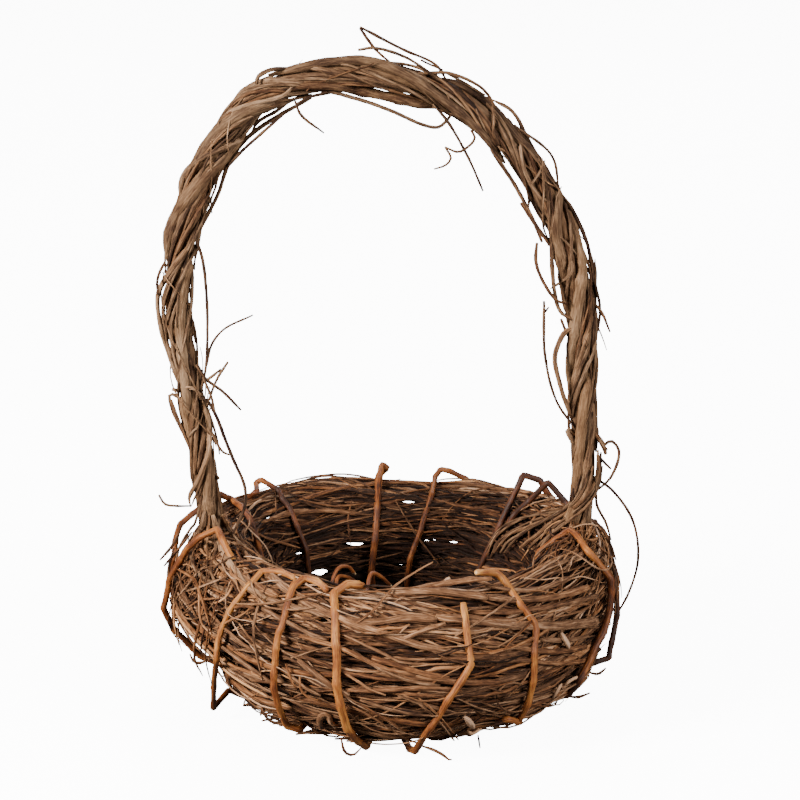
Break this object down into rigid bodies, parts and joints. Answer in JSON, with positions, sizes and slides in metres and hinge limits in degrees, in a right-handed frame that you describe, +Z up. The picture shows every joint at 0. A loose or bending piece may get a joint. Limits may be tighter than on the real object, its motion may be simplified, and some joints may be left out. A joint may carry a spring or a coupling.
{
  "type": "twig basket",
  "caption": "Round nest basket of bundled vine twigs with a tall twisted vine handle, tied with bent rattan rods.",
  "frame": {"origin": "on the ground under the middle of the basket", "axes": "+Z up, +X towards the right foot of the handle, -Y towards the front"},
  "size_m": [0.2265, 0.2285, 0.3145],
  "materials": {
    "floor_twig": "matte",
    "handle_bark": "matte",
    "rattan": "satin",
    "twig_bundle": "matte",
    "vine_bark": "matte"
  },
  "bodies": {
    "root": {"base_inner_vine": "vine_bark", "base_outer_vine": "vine_bark", "floor_lower_twigs": "floor_twig", "floor_upper_twigs": "floor_twig", "groove_vine_first": "handle_bark", "groove_vine_second": "handle_bark", "groove_vine_third": "handle_bark", "handle_vine_first": "handle_bark", "handle_vine_second": "handle_bark", "handle_vine_third": "handle_bark", "inner_heel_vine": "vine_bark", "inner_lower_vine": "vine_bark", "inner_middle_vine": "vine_bark", "inner_shoulder_vine": "vine_bark", "inner_upper_vine": "vine_bark", "lashing_front_left_centre": "rattan", "lashing_front_left_inner": "rattan", "lashing_front_left_outer": "rattan", "lashing_front_right": "rattan", "lashing_front_right_centre": "rattan", "lashing_left_foot": "rattan", "lashing_rear_centre_left": "rattan", "lashing_rear_centre_right": "rattan", "lashing_rear_left_inner": "rattan", "lashing_rear_left_outer": "rattan", "lashing_rear_right_inner": "rattan", "lashing_rear_right_outer": "rattan", "lashing_right_foot": "rattan", "outer_heel_vine": "vine_bark", "outer_lower_vine": "vine_bark", "outer_middle_vine": "vine_bark", "outer_shoulder_vine": "vine_bark", "outer_upper_vine": "vine_bark", "rim_inner_vines": "vine_bark", "rim_outer_vines": "vine_bark", "wall_core": "twig_bundle", "wrap_vine_crown": "handle_bark", "wrap_vine_left": "handle_bark", "wrap_vine_long": "handle_bark", "wrap_vine_right": "handle_bark"}
  },
  "joints": []
}
